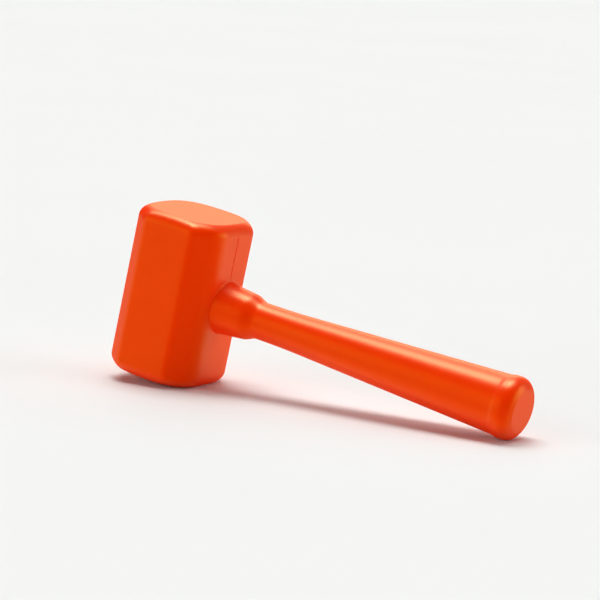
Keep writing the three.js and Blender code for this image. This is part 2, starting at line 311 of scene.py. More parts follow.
@dataclass
class Skeleton:
    """The steel inside: shot canister with its caps, rod socket, handle rod, cross pin and collars."""

    axes: HammerAxes
    canister_half: float = 39.0
    canister_radius: float = 22.0
    canister_wall: float = 2.5
    cap_flange: float = 2.5
    cap_spigot: float = 4.0
    fill_shank: float = 5.0
    fill_lip: float = 1.2
    fill_head: float = 1.5
    rod_radius: float = 7.0
    rod_start: float = 22.3
    rod_end: float = 219.0
    rod_chamfer: float = 1.0
    socket_radius: float = 10.5
    socket_end: float = 46.5
    pin_radius: float = 2.5
    pin_setback: float = 0.6
    collar_count: int = 4
    collar_wall: float = 2.5
    collar_width: float = 6.0
    fit_gap: float = 0.3
    edge_radius: float = 0.5
    round_segments: int = 72
    small_segments: int = 48
    socket_steps: int = 6
    socket_margin: float = 0.06
    saddle_steps: int = 4

    @property
    def chamber_half(self) -> float:
        """Half the length of the space that the shot runs in."""
        return self.canister_half - self.cap_flange - self.cap_spigot

    @property
    def bore_radius(self) -> float:
        """The radius of the space that the shot runs in."""
        return self.canister_radius - self.canister_wall

    @property
    def pin_station(self) -> float:
        """Where the cross pin sits on the handle's axis."""
        return (self.rod_start + self.socket_end) / 2.0

    def collar_stations(self) -> Array:
        """The middle of each collar, evenly between the socket and the rod's end."""
        return np.linspace(self.socket_end, self.rod_end, self.collar_count + 2)[1:-1]

    def space(self, plug_seat: Array, gap: float) -> list[Array]:
        """The room that the skeleton needs in the casing.

        Args:
            plug_seat: the profile of the butt plug's seat, from the rod's bore outwards.
            gap: the clearance round the steel.

        Returns:
            Two turned grids: one about the strike axis and one, stepped, about the handle axis.
        """
        reach = self.canister_half + gap
        radius = self.canister_radius + gap
        drum = block(0.0, radius, -reach, reach)
        bore = self.rod_radius + gap
        half = self.collar_width / 2.0 + gap
        seat = block(bore, bore + self.collar_wall + gap, -half, half)
        seats = seat[None] + paired(0.0, self.collar_stations())[:, None]
        socket = self.socket_radius + gap
        end = self.socket_end + gap
        root = np.array([[0.0, 0.0], [socket, 0.0], [socket, end], [bore, end]])
        bar = np.concatenate([root, seats.reshape(-1, 2), plug_seat])
        return [turned(drum, TurnAxis.STRIKE, self.round_segments),
                turned(bar, TurnAxis.HANDLE, self.round_segments)]

    def tube(self) -> Array:
        """The canister's tube: a ring's section with softened edges, turned about the strike axis.

        Returns:
            The turned grid.
        """
        half = self.canister_half - self.cap_flange - self.fit_gap
        ring = block(self.bore_radius, self.canister_radius, -half, half)
        return turned(softened(ring, self.edge_radius, True), TurnAxis.STRIKE, self.round_segments)

    def cap(self, up: float, drilled: bool) -> Array:
        """A cap: a flange on a spigot, turned about the strike axis.

        Args:
            up: 1 for the upper cap, and -1 for the lower.
            drilled: whether it has the stepped hole that the shot is poured through.

        Returns:
            The turned grid.
        """
        spigot = self.bore_radius - self.fit_gap
        shoulder = self.canister_half - self.cap_flange
        outside = np.array([[spigot, self.chamber_half], [spigot, shoulder],
                            [self.canister_radius, shoulder], [self.canister_radius, self.canister_half]])
        if drilled:
            shank = self.fill_shank + self.fit_gap
            seat = self.canister_half - self.fill_head - self.fit_gap
            hole = np.array([[shank + self.fill_lip, self.canister_half], [shank + self.fill_lip, seat],
                             [shank, seat], [shank, self.chamber_half]])
            profile = softened(np.concatenate([outside, hole]), self.edge_radius, True)
        else:
            middle = np.array([[0.0, self.chamber_half], [0.0, self.canister_half]])
            profile = softened(np.concatenate([middle[:1], outside, middle[1:]]), self.edge_radius, False)
        return turned(profile * np.array([1.0, up]), TurnAxis.STRIKE, self.round_segments)

    def fill_plug(self) -> Array:
        """The plug of the pouring hole: a shank with a flat head, turned about the strike axis.

        Returns:
            The turned grid.
        """
        head = self.fill_shank + self.fill_lip
        seat = self.canister_half - self.fill_head
        corners = np.array([[0.0, self.chamber_half], [self.fill_shank, self.chamber_half],
                            [self.fill_shank, seat], [head, seat],
                            [head, self.canister_half], [0.0, self.canister_half]])
        return turned(softened(corners, self.edge_radius, False), TurnAxis.STRIKE, self.small_segments)

    def socket(self) -> Array:
        """The rod's socket: a tube whose inner end follows the canister.

        At angle t a point of radius r on that end lies at the root of the canister's radius squared less the
        square of r sin t. The section runs out along the tube, in at its end, back along the bore and up the
        saddle.

        Returns:
            A grid that closes in both directions.
        """
        angle = np.linspace(0.0, 2.0 * np.pi, self.small_segments + 1)[None, :]
        inner = self.rod_radius + self.fit_gap
        soft = self.edge_radius
        stop = self.socket_end - soft
        outward = spaced(1.0, self.socket_steps, self.socket_margin)[:, None]
        canister = self.canister_radius + self.fit_gap
        saddle_radius = np.linspace(inner, self.socket_radius, self.saddle_steps + 1)[:, None]
        saddle = np.sqrt(canister ** 2 - (saddle_radius * np.sin(angle)) ** 2)
        around = np.ones_like(angle)
        wall = np.ones_like(outward) * around
        radius = np.concatenate([self.socket_radius * wall, (self.socket_radius - soft) * around,
                                 (inner + soft) * around, inner * wall, saddle_radius * around])
        along = np.concatenate([saddle[-1:] + (stop - saddle[-1:]) * outward, self.socket_end * around,
                                self.socket_end * around, stop + (saddle[:1] - stop) * outward, saddle])
        return np.stack([along, radius * np.sin(angle), radius * np.cos(angle)], axis=-1)

    def rod(self) -> Array:
        """The handle rod: a bar with chamfered ends, turned about the handle axis.

        Returns:
            The turned grid.
        """
        lip = self.rod_radius - self.rod_chamfer
        corners = np.array([[0.0, self.rod_start], [lip, self.rod_start],
                            [self.rod_radius, self.rod_start + self.rod_chamfer],
                            [self.rod_radius, self.rod_end - self.rod_chamfer], [lip, self.rod_end],
                            [0.0, self.rod_end]])
        return turned(softened(corners, self.edge_radius / 2.0, False), TurnAxis.HANDLE, self.small_segments)

    def cross_bar(self, radius: float, half_length: float) -> Array:
        """A bar across the handle at the pin's station, with softened ends.

        Args:
            radius: the bar's radius.
            half_length: its half length along Y.

        Returns:
            The turned grid, laid along Y.
        """
        corners = block(0.0, radius, -half_length, half_length)
        upright = turned(softened(corners, self.edge_radius, False), TurnAxis.STRIKE, self.small_segments)
        return upright[..., [0, 2, 1]] + np.array([self.pin_station, 0.0, 0.0])

    def collar(self, station: float) -> Array:
        """A collar: a ring's section with softened edges, turned about the handle axis at its station.

        Args:
            station: the collar's middle on the handle axis.

        Returns:
            The turned grid.
        """
        inner = self.rod_radius + self.fit_gap
        half = self.collar_width / 2.0
        ring = block(inner, inner + self.collar_wall, station - half, station + half)
        return turned(softened(ring, self.edge_radius, True), TurnAxis.HANDLE, self.small_segments)

    def dress(self, drawn: bpy.types.Material, bright: bpy.types.Material) -> None:
        """Makes every steel piece and sets it in place.

        Args:
            drawn: the finish of tube, caps and socket.
            bright: the finish of turned and ground pieces.
        """
        collars = {f"rod_collar_{i + 1}": self.collar(x) for i, x in enumerate(self.collar_stations())}
        canister = {
            "canister_tube": self.tube(),
            "canister_cap_upper": self.cap(1.0, True),
            "canister_cap_lower": self.cap(-1.0, False),
            "fill_plug": self.fill_plug(),
        }
        pin = self.cross_bar(self.pin_radius, self.socket_radius - self.pin_setback)
        bars = {"socket_pin": pin, **collars}
        for node, grid in canister.items():
            finish = bright if node == "fill_plug" else drawn
            set_in_place(self.made(node, grid), [node], Body.HAMMER, finish)
        for node, grid in bars.items():
            set_in_place(self.made(node, grid), [node], Body.HAMMER, bright)
        for node, grid, finish in (("rod_socket", self.socket(), drawn), ("handle_rod", self.rod(), bright)):
            piece = self.made(node, grid)
            hole = self.cross_bar(self.pin_radius + self.fit_gap, 2.0 * self.socket_radius)
            cut_away(piece, [closed_object("pin_hole", [hole], self.axes)])
            set_in_place(piece, [node], Body.HAMMER, finish)

    def made(self, node: str, grid: Array) -> bpy.types.Object:
        """The closed object that stands for a node."""
        return closed_object(f"{node}_finished", [grid], self.axes)


@dataclass
class ShotCharge:
    """The loose steel shot, in layers of balls that lie on the lower cap."""

    axes: HammerAxes
    skeleton: Skeleton
    layers: int = 6
    spacing: float = 7.7
    pitch: float = 7.7734
    first_height: float = 3.7367
    wall_reach: float = 4.702
    ball_radius: float = 3.84
    lattice_reach: int = 6
    ball_segments: int = 14
    ball_rings: int = 9

    def centres(self, layer: int) -> Array:
        """The centres of a layer's balls: a triangular lattice in the bore, over the hollows of the last.

        Args:
            layer: the layer's number, from 0 at the bottom.

        Returns:
            One row of X, Y, Z for each ball.
        """
        shift = (layer % 3) / 3.0
        count = np.arange(-self.lattice_reach, self.lattice_reach + 1)
        first, second = np.meshgrid(count + shift, count + shift, indexing="ij")
        across = self.spacing * (first + second / 2.0)
        along = self.spacing * second * math.sqrt(3.0) / 2.0
        kept = np.hypot(across, along) <= self.skeleton.bore_radius - self.wall_reach - self.skeleton.fit_gap
        floor = self.first_height + self.skeleton.fit_gap - self.skeleton.chamber_half
        height = np.full(int(kept.sum()), floor + layer * self.pitch)
        return np.stack([across[kept], along[kept], height], axis=-1)

    def balls(self, layer: int) -> list[Array]:
        """A layer's balls: each a grid of latitude and longitude round its centre.

        Args:
            layer: the layer's number, from 0 at the bottom.

        Returns:
            One closed grid for each ball.
        """
        latitude = np.linspace(-np.pi / 2.0, np.pi / 2.0, self.ball_rings + 1)[:, None]
        longitude = np.linspace(0.0, 2.0 * np.pi, self.ball_segments + 1)[None, :]
        ball = self.ball_radius * np.stack([
            np.cos(latitude) * np.cos(longitude), np.cos(latitude) * np.sin(longitude),
            np.sin(latitude) * np.ones_like(longitude),
        ], axis=-1)
        return list(self.centres(layer)[:, None, None, :] + ball[None])

    def dress(self, shot: bpy.types.Material) -> None:
        """Makes one piece of each layer.

        Args:
            shot: the balls' finish.
        """
        for layer in range(self.layers):
            node = f"shot_layer_{layer + 1}"
            piece = closed_object(f"{node}_finished", self.balls(layer), self.axes)
            set_in_place(piece, [node], Body.SHOT, shot)


@dataclass
class Casing:
    """The orange casing: head, neck and handle in two halves that meet in the middle, and the butt's plug."""

    axes: HammerAxes
    skeleton: Skeleton
    head_length: float = 100.0
    head_width: float = 62.5
    head_depth: float = 61.0
    corner_cut: float = 13.0
    panel_radius: float = 16.0
    cheek_radius: float = 7.0
    end_radius: float = 8.0
    end_sweep: float = math.radians(68.0)
    face_squareness: float = 2.9
    handle_reach: float = 233.0
    neck_root: float = 15.6
    neck_end: float = 13.9
    neck_length: float = 18.0
    neck_fillet: float = 0.8
    shoulder_length: float = 9.0
    waist_radius: float = 11.1
    waist_length: float = 17.0
    taper_blend: float = 14.0
    butt_radius: float = 18.7
    butt_edge: float = 7.3
    butt_sweep: float = math.radians(62.0)
    butt_flat: float = 13.0
    bead_length: float = 13.6
    bead_blend: float = 3.5
    bead_rise: float = 0.55
    plug_radius: float = 12.2
    plug_thickness: float = 4.0
    plug_gap: float = 0.04
    plug_edge: float = 0.03
    parting_gap: float = 0.02
    score_width: float = 0.45
    score_depth: float = 0.4
    score_fade: float = 2.0
    score_reach: float = 0.1
    cut_past: float = 1.0
    patch_half: float = 24.0
    flat_margin: float = 0.5
    crease: float = math.radians(13.0)
    arc_steps: int = 6
    fillet_steps: int = 10
    panel_steps: int = 7
    facet_steps: int = 3
    cheek_steps: int = 6
    patch_steps: int = 8
    side_steps: int = 24
    neck_steps: int = 8
    shoulder_steps: int = 12
    grip_steps: int = 43
    bead_steps: int = 6
    plug_segments: int = 96
    wall_rows: tuple[float, ...] = (40.0, 35.0, 30.0, 26.0)
    face_rings: tuple[float, ...] = (0.0, 0.3, 0.6, 0.85, 0.985)
    butt_rings: tuple[float, ...] = (1.0, 0.97, 0.6, 0.3, 0.0)
    section_points: Array = field(init=False)
    section_inwards: Array = field(init=False)
    arc_start: int = field(init=False)

    def __post_init__(self) -> None:
        """Works out the head's section once."""
        self.section_points, self.section_inwards, self.arc_start = self.section()

    @property
    def end_rise(self) -> float:
        """The height of the rounded end."""
        return self.end_radius * math.sin(self.end_sweep)

    @property
    def panel(self) -> float:
        """The distance of the handle-side panel from the head's axis."""
        return self.head_depth / 2.0

    @property
    def flat_half(self) -> float:
        """Half the width of the flat of that panel."""
        return self.head_width / 2.0 - self.corner_cut - self.panel_radius * math.tan(CORNER_TURN / 2.0)

    def section(self) -> tuple[Array, Array, int]:
        """Half the head's section, from the middle of the far panel to the middle of the handle-side panel.

        Each point is a corner's centre plus the corner's radius along the normal. On a flat the centre and
        the radius change evenly and the normal stays, and at a corner the normal turns by an eighth of a
        circle. The corners beside the panels are rounder than those beside the cheeks. The face's outline is
        an oval: at each point's own bearing its distance is the root of a sum of powers, between those of an
        ellipse and a rectangle.

        Returns:
            The points, the way from each to the face's outline, and the number of the point where the last
            corner begins.
        """
        near = self.panel - self.panel_radius
        side = self.head_width / 2.0 - self.cheek_radius
        cheek = self.panel - self.corner_cut - self.cheek_radius * math.tan(CORNER_TURN / 2.0)
        flat = self.flat_half
        # X, Y and the radius of each corner's circle, with the middles of the two panels at the ends
        circles = np.array([[-near, 0.0, self.panel_radius], [-near, flat, self.panel_radius],
                            [-cheek, side, self.cheek_radius], [cheek, side, self.cheek_radius],
                            [near, flat, self.panel_radius], [near, 0.0, self.panel_radius]])
        arc = np.linspace(0.0, 1.0, self.arc_steps + 1)
        panel_flat = spaced(flat, self.panel_steps, self.flat_margin)
        panel_flat[1] = self.score_width / flat
        facet = spaced(self.corner_cut, self.facet_steps, self.flat_margin)
        cheek_flat = spaced(2.0 * cheek, self.cheek_steps, self.flat_margin)
        flats = [panel_flat, facet, cheek_flat, facet, 1.0 - panel_flat[::-1]]
        middles, turns = [], []
        for corner, fractions in enumerate(flats):
            turn = np.pi - corner * CORNER_TURN
            start, end = circles[corner], circles[corner + 1]
            middles.append(start + fractions[:, None] * (end - start))
            turns.append(np.full(len(fractions), turn))
            if corner < len(flats) - 1:
                middles.append(np.broadcast_to(end, (len(arc) - 2, 3)))
                turns.append(turn - arc[1:-1] * CORNER_TURN)
        angle = np.concatenate(turns)
        normals = paired(np.cos(angle), np.sin(angle))
        middle = np.concatenate(middles)
        points = middle[:, :2] + middle[:, 2:] * normals
        inset = self.end_radius * (1.0 - math.cos(self.end_sweep))
        reach = np.array([self.panel, self.head_width / 2.0]) - inset
        power = self.face_squareness
        bearing = points / np.linalg.norm(points, axis=1, keepdims=True)
        face = bearing * np.sum(np.abs(bearing / reach) ** power, axis=1, keepdims=True) ** (-1.0 / power)
        last_corner = len(points) - len(panel_flat) - (len(arc) - 1)
        return points, face - points, last_corner

    def head_rows(self) -> tuple[Array, Array, Array]:
        """The head's rows from the upper face to the lower one.

        Each row draws the section part of the way to the face's outline and then scales it. A rounded end is
        an arc that leaves the wall at a tangent and meets the face at a soft edge, and a face's rings shrink
        to a pole.

        Returns:
            The share of that way, the scale and the height of each row.
        """
        half = self.head_length / 2.0
        turn = np.linspace(self.end_sweep, 0.0, self.fillet_steps + 1)
        shrink = np.array(self.face_rings)
        wall_top = half - self.end_rise
        wall = np.array([wall_top - self.flat_margin, *self.wall_rows])
        side = np.linspace(self.patch_half, -self.patch_half, self.side_steps + 1)
        height = np.concatenate([np.full(len(shrink), half), wall_top + self.end_radius * np.sin(turn), wall])
        arc = (1.0 - np.cos(turn)) / (1.0 - math.cos(self.end_sweep))
        inset = np.concatenate([np.ones(len(shrink)), arc, np.zeros(len(wall))])
        scale = np.concatenate([shrink, np.ones(len(turn) + len(wall))])
        plain = np.zeros(len(side))
        return (np.concatenate([inset, plain, inset[::-1]]),
                np.concatenate([scale, plain + 1.0, scale[::-1]]),
                np.concatenate([height, side, -height[::-1]]))

    def head_grids(self) -> list[Array]:
        """The head's half, without the patch of the handle-side panel that the neck grows from.

        Returns:
            Three grids: beside the patch, above it and below it.
        """
        inset, scale, height = (row[:, None, None] for row in self.head_rows())
        flat = scale * (self.section_points + inset * self.section_inwards)
        whole = np.concatenate([flat, np.broadcast_to(height, flat.shape[:2] + (1,))], axis=-1)
        first = int(np.argmin(np.abs(height - self.patch_half)))
        last = int(np.argmin(np.abs(height + self.patch_half)))
        corner = self.arc_start
        return [whole[:, :corner + 1], whole[:first + 1, corner:], whole[last:, corner:]]

    def panel_rise(self, across: Array) -> Array:
        """The panel's rise over its flat: none on the flat, and down the corner's circle beside it."""
        past = np.clip(np.abs(across) - self.flat_half, 0.0, self.panel_radius)
        return np.sqrt(self.panel_radius ** 2 - past ** 2) - self.panel_radius

    def neck_outline(self) -> Array:
        """The outline of the panel's patch, as Y and Z, from the top of the middle plane to its bottom.

        Returns:
            One row for each point.
        """
        edge = self.section_points[self.arc_start:, 1][::-1]
        side = np.linspace(self.patch_half, -self.patch_half, self.side_steps + 1)[1:-1]
        top = paired(edge, self.patch_half)
        down = paired(edge[-1], side)
        return np.concatenate([top, down, top[::-1] * np.array([1.0, -1.0])])

    def neck_angles(self) -> Array:
        """The angle of each point of that outline about the handle axis, from the top."""
        outline = self.neck_outline()
        return np.arctan2(outline[:, 0], outline[:, 1])

    def patch_grid(self) -> Array:
        """The patch of the panel: straight lines from its outline to the neck's foot, laid on the panel.

        Returns:
            A grid from the outline to the foot.
        """
        angle = self.neck_angles()
        foot = (self.neck_root + self.neck_fillet) * paired(np.sin(angle), np.cos(angle))
        step = np.linspace(0.0, 1.0, self.patch_steps + 1)[:, None, None]
        flat = self.neck_outline()[None] * (1.0 - step) + foot[None] * step
        height = self.panel + self.panel_rise(flat[..., :1])
        return np.concatenate([height, flat], axis=-1)

    def handle_profile(self) -> Array:
        """The handle's radius along its axis, from the foot of the neck to the middle of the butt.

        A quarter circle leaves the panel, the neck tapers straight, a cubic shoulder drops to the waist, and
        the waist turns through a parabola into the straight taper of the grip. A cubic step lifts the last of
        it to a low bead, which meets the butt's round edge at a tangent. That edge runs straight on to the
        rim of the butt's flat.

        Returns:
            Points as radius and station.
        """
        turn = np.linspace(0.0, np.pi / 2.0, self.fillet_steps + 1)
        foot = paired(self.neck_root + self.neck_fillet * (1.0 - np.sin(turn)),
                      self.panel + self.neck_fillet * (1.0 - np.cos(turn)))
        neck_start = self.panel + self.neck_fillet
        neck_stop = self.panel + self.neck_length
        along = np.linspace(0.0, 1.0, self.neck_steps + 1)[1:]
        neck = paired(self.neck_root + (self.neck_end - self.neck_root) * along,
                      neck_start + (neck_stop - neck_start) * along)
        slope = (self.neck_end - self.neck_root) / (neck_stop - neck_start)
        fall = np.linspace(0.0, 1.0, self.shoulder_steps + 1)[1:]
        lead = slope * self.shoulder_length * fall * (1.0 - fall) ** 2
        shoulder = paired(self.neck_end + (self.waist_radius - self.neck_end) * eased(fall) + lead,
                          neck_stop + self.shoulder_length * fall)
        waist = neck_stop + self.shoulder_length
        grip = waist + self.waist_length
        inner = self.butt_radius - self.butt_edge
        edge_end = inner + self.butt_edge * math.cos(self.butt_sweep)
        slope_rise = (edge_end - self.butt_flat) / math.tan(self.butt_sweep)
        edge_middle = self.handle_reach - slope_rise - self.butt_edge * math.sin(self.butt_sweep)
        lean = math.atan2(self.butt_radius - self.waist_radius, edge_middle - grip)
        grip_stop = edge_middle - self.butt_edge * math.sin(lean)
        bead = self.handle_reach - self.bead_length
        swell = np.linspace(bead, bead + self.bead_blend, self.bead_steps + 1)
        station = np.concatenate([np.linspace(waist, bead, self.grip_steps + 1)[1:-1], swell, [grip_stop]])
        past = station - grip
        blend = self.taper_blend
        bend = np.where(np.abs(past) < blend, (past + blend) ** 2 / (4.0 * blend), np.maximum(past, 0.0))
        grip_end = inner + self.butt_edge * math.cos(lean) - self.bead_rise
        taper = (grip_end - self.waist_radius) / (grip_stop - grip)
        rise = self.bead_rise * eased((station - bead) / self.bead_blend)
        body = paired(self.waist_radius + taper * bend + rise, station)
        sweep = np.linspace(-lean, self.butt_sweep, self.fillet_steps + 3)[1:]
        edge = paired(inner + self.butt_edge * np.cos(sweep), edge_middle + self.butt_edge * np.sin(sweep))
        face = paired(np.array(self.butt_rings) * self.butt_flat, self.handle_reach)
        return np.concatenate([foot, neck, shoulder, body, edge, face])

    def handle_grid(self) -> Array:
        """The handle's half: its profile carried round the axis at the patch's angles.

        Close to the panel each ring follows the panel's rise, which fades out along the neck.

        Returns:
            A grid from the foot of the neck to the middle of the butt.
        """
        profile = self.handle_profile()
        angle = self.neck_angles()[None, :]
        radius, station = profile[:, :1], profile[:, 1:]
        across = radius * np.sin(angle)
        fade = 1.0 - eased((station - self.panel - self.neck_fillet) / (self.neck_length / 2.0))
        along = station + self.panel_rise(across) * fade
        return np.stack([along, across, radius * np.cos(angle)], axis=-1)

    def parted(self, grid: Array, side: Side) -> Array:
        """Moves a half's grid to its side, clear of the middle plane, and scores the parting line.

        The outline on the middle plane is lowered on the far panel and, above the neck, on the handle-side
        panel. That leaves a fine groove between the halves there, and none on the faces, below the neck or on
        the handle.

        Args:
            grid: a grid of the half at positive Y.
            side: the half to make.

        Returns:
            The moved grid.
        """
        foot = self.neck_root + self.neck_fillet
        wall = self.head_length / 2.0 - self.end_rise
        on_panel = np.abs(np.abs(grid[..., 0]) - self.panel) < self.score_reach
        on_plane = np.abs(grid[..., 1]) < self.score_width / 2.0
        above = np.where(grid[..., 0] > 0.0, grid[..., 2] - foot, wall)
        below = wall + self.score_fade - np.abs(grid[..., 2])
        fade = np.clip(np.minimum(above, below) / self.score_fade, 0.0, 1.0)
        depth = np.where(on_panel & on_plane, self.score_depth * fade, 0.0)
        moved = grid.copy()
        moved[..., 0] -= np.sign(grid[..., 0]) * depth
        moved[..., 1] = side.value * np.maximum(grid[..., 1], self.parting_gap / 2.0)
        return moved

    def build_half(self, name: str, side: Side) -> bpy.types.Object:
        """One half of the casing, hollowed for the skeleton and the plug.

        Args:
            name: the object's name.
            side: the half to make.

        Returns:
            The finished mesh object.
        """
        grids = [*self.head_grids(), self.patch_grid(), self.handle_grid()]
        half = closed_object(name, [self.parted(grid, side) for grid in grids], self.axes)
        bore = self.skeleton.rod_radius + self.skeleton.fit_gap
        seat = self.plug_radius + self.plug_gap
        depth = self.handle_reach - self.plug_thickness - self.plug_gap
        lip = seat + self.plug_edge
        past = self.handle_reach + self.cut_past
        plug_seat = np.array([[bore, depth], [seat, depth], [seat, self.handle_reach - self.plug_edge],
                              [lip, self.handle_reach], [lip, past], [0.0, past]])
        spaces = self.skeleton.space(plug_seat, self.skeleton.fit_gap)
        cut_away(half, [closed_object("hollow", [space], self.axes) for space in spaces])
        return half

    def build_plug(self, name: str) -> bpy.types.Object:
        """The butt's plug: a disc flush with the butt on a stem in the rod's bore, turned about the handle.

        Args:
            name: the object's name.

        Returns:
            The finished mesh object.
        """
        stem = self.skeleton.rod_end + self.skeleton.fit_gap
        inner = self.handle_reach - self.plug_thickness
        corners = np.array([[0.0, stem], [self.skeleton.rod_radius, stem], [self.skeleton.rod_radius, inner],
                            [self.plug_radius, inner], [self.plug_radius, self.handle_reach],
                            [0.0, self.handle_reach]])
        grid = turned(softened(corners, self.plug_edge, False), TurnAxis.HANDLE, self.plug_segments)
        return closed_object(name, [grid], self.axes)

    def dress(self, polyurethane: bpy.types.Material) -> None:
        """Makes both halves and the plug, and sets them in place.

        Args:
            polyurethane: their finish.
        """
        for node, side in (("casing_left", Side.LEFT), ("casing_right", Side.RIGHT)):
            half = self.build_half(f"{node}_finished", side)
            set_in_place(half, [node], Body.HAMMER, polyurethane, self.crease)
        plug = self.build_plug("butt_plug_finished")
        set_in_place(plug, ["butt_plug"], Body.HAMMER, polyurethane)


def linear(hex_colour: str) -> tuple[float, float, float, float]:
    """Turns an sRGB hex colour such as #E8400A into linear red, green and blue, with full alpha.

    Args:
        hex_colour: a hash mark and six hex digits.

    Returns:
        Linear red, green, blue and alpha.
    """
    value = np.array([int(hex_colour[i:i + 2], 16) for i in (1, 3, 5)]) / 255.0
    light = np.where(value <= 0.04045, value / 12.92, ((value + 0.055) / 1.055) ** 2.4)
    return float(light[0]), float(light[1]), float(light[2]), 1.0


def add_node(tree: bpy.types.NodeTree, kind: str, settings: dict[str, Any] | None = None,
             inputs: dict[str | int, Any] | None = None) -> bpy.types.Node:
    """Adds a node with its settings, values and links.

    Args:
        tree: the node tree.
        kind: the node's type.
        settings: the node's own properties.
        inputs: for each input, by name or number, a value to set or an output to link.

    Returns:
        The new node.
    """
    node = tree.nodes.new(kind)
    for name, value in (settings or {}).items():
        setattr(node, name, value)
    for socket, value in (inputs or {}).items():
        if isinstance(value, bpy.types.NodeSocket):
            tree.links.new(value, node.inputs[socket])
        else:
            node.inputs[socket].default_value = value
    return node


def fresh_material(name: str) -> tuple[bpy.types.Material, bpy.types.NodeTree]:
    """A new material with an empty node tree.

    Args:
        name: the material's name.

    Returns:
        The material and its tree.
    """
    material = bpy.data.materials.new(name)
    material.use_nodes = True
    material.node_tree.nodes.clear()
    return material, material.node_tree


def per_mm(size: float) -> float:
    """The texture scale at which a pattern repeats about once in a size given in millimetres."""
    return 1.0 / (size * MM)


@dataclass(frozen=True)
class CastPolyurethane:
    """Pigmented polyurethane, cast in a polished mould: one deep satin colour with a faint orange peel."""

    name: str = "cast polyurethane"
    deep: str = "#FA3000"
    pale: str = "#FF3800"
    mottle_mm: float = 26.0
    peel_mm: float = 2.6
    peel_depth_mm: float = 0.05
    grain_mm: float = 0.7
    grain_depth_mm: float = 0.02
    roughness: tuple[float, float] = (0.31, 0.36)
    gloss_share: tuple[float, float] = (0.014, 0.125)
    gloss_facing: str = "#FFD040"
    gloss_grazing: str = "#FFDFA6"
    # Painted highlight: the paler gloss tint for surfaces that face up
    gloss_painted_up: str = "#FFE0A8"

    def material(self) -> bpy.types.Material:
        """Slow mottling of the pigment, a satin that varies a little, and two sizes of very shallow bump.

        Returns:
            The new material.
        """
        material, tree = fresh_material(self.name)
        place = add_node(tree, "ShaderNodeTexCoord").outputs["Object"]
        mottle = add_node(tree, "ShaderNodeTexNoise", inputs={
            "Vector": place, "Scale": per_mm(self.mottle_mm), "Detail": 3.0, "Roughness": 0.55})
        colour = add_node(tree, "ShaderNodeMix", {"data_type": "RGBA"}, {
            0: mottle.outputs["Fac"], 6: linear(self.deep), 7: linear(self.pale)})
        peel = add_node(tree, "ShaderNodeTexNoise", inputs={
            "Vector": place, "Scale": per_mm(self.peel_mm), "Detail": 1.0, "Roughness": 0.4})
        # The real grain is finer than a pixel, so it is drawn coarser than it is
        grain = add_node(tree, "ShaderNodeTexNoise", inputs={
            "Vector": place, "Scale": per_mm(self.grain_mm), "Detail": 2.0, "Roughness": 0.6})
        satin = add_node(tree, "ShaderNodeMapRange", inputs={
            "Value": grain.outputs["Fac"], "From Min": 0.3, "From Max": 0.7,
            "To Min": self.roughness[0], "To Max": self.roughness[1]})
        waves = add_node(tree, "ShaderNodeBump", inputs={
            "Height": peel.outputs["Fac"], "Strength": 0.08, "Distance": self.peel_depth_mm * MM})
        skin = add_node(tree, "ShaderNodeBump", inputs={
            "Height": grain.outputs["Fac"], "Strength": 0.05, "Distance": self.grain_depth_mm * MM,
            "Normal": waves.outputs["Normal"]})
        body = add_node(tree, "ShaderNodeBsdfPrincipled", inputs={
            "Base Color": colour.outputs[2], "Roughness": 1.0, "Specular IOR Level": 0.0,
            "Normal": skin.outputs["Normal"]})
        # Light that comes back from just under the skin warms the gloss, less so at a low angle
        lean = add_node(tree, "ShaderNodeLayerWeight", inputs={
            "Blend": 0.5, "Normal": skin.outputs["Normal"]})
        steep = add_node(tree, "ShaderNodeMapRange", {"interpolation_type": "SMOOTHSTEP"}, {
            "Value": lean.outputs["Facing"], "From Min": 0.1, "From Max": 0.6})
        warmth = add_node(tree, "ShaderNodeMix", {"data_type": "RGBA"}, {
            0: steep.outputs["Result"], 6: linear(self.gloss_facing), 7: linear(self.gloss_grazing)})
        # Painted highlight: the gloss is tinted paler where the surface faces up, towards the overhead lamps,
        # so that their highlights read whiter there
        slope = add_node(tree, "ShaderNodeSeparateXYZ", inputs={
            0: add_node(tree, "ShaderNodeNewGeometry").outputs["Normal"]})
        up_share = add_node(tree, "ShaderNodeMapRange", {"interpolation_type": "SMOOTHSTEP"}, {
            "Value": slope.outputs["Z"], "From Min": 0.4, "From Max": 0.85})
        painted_up_gloss = add_node(tree, "ShaderNodeMix", {"data_type": "RGBA"}, {
            0: up_share.outputs["Result"], 6: warmth.outputs[2], 7: linear(self.gloss_painted_up)})
        gloss = add_node(tree, "ShaderNodeBsdfAnisotropic", inputs={
            "Color": painted_up_gloss.outputs[2], "Roughness": satin.outputs["Result"],
            "Normal": skin.outputs["Normal"]})
        share = add_node(tree, "ShaderNodeMapRange", {"interpolation_type": "SMOOTHSTEP"}, {
            "Value": lean.outputs["Facing"], "From Min": 0.0, "From Max": 0.5,
            "To Min": self.gloss_share[0], "To Max": self.gloss_share[1]})
        surface = add_node(tree, "ShaderNodeMixShader", inputs={
            0: share.outputs["Result"], 1: body.outputs["BSDF"], 2: gloss.outputs["BSDF"]})
        add_node(tree, "ShaderNodeOutputMaterial", inputs={"Surface": surface.outputs["Shader"]})
        return material


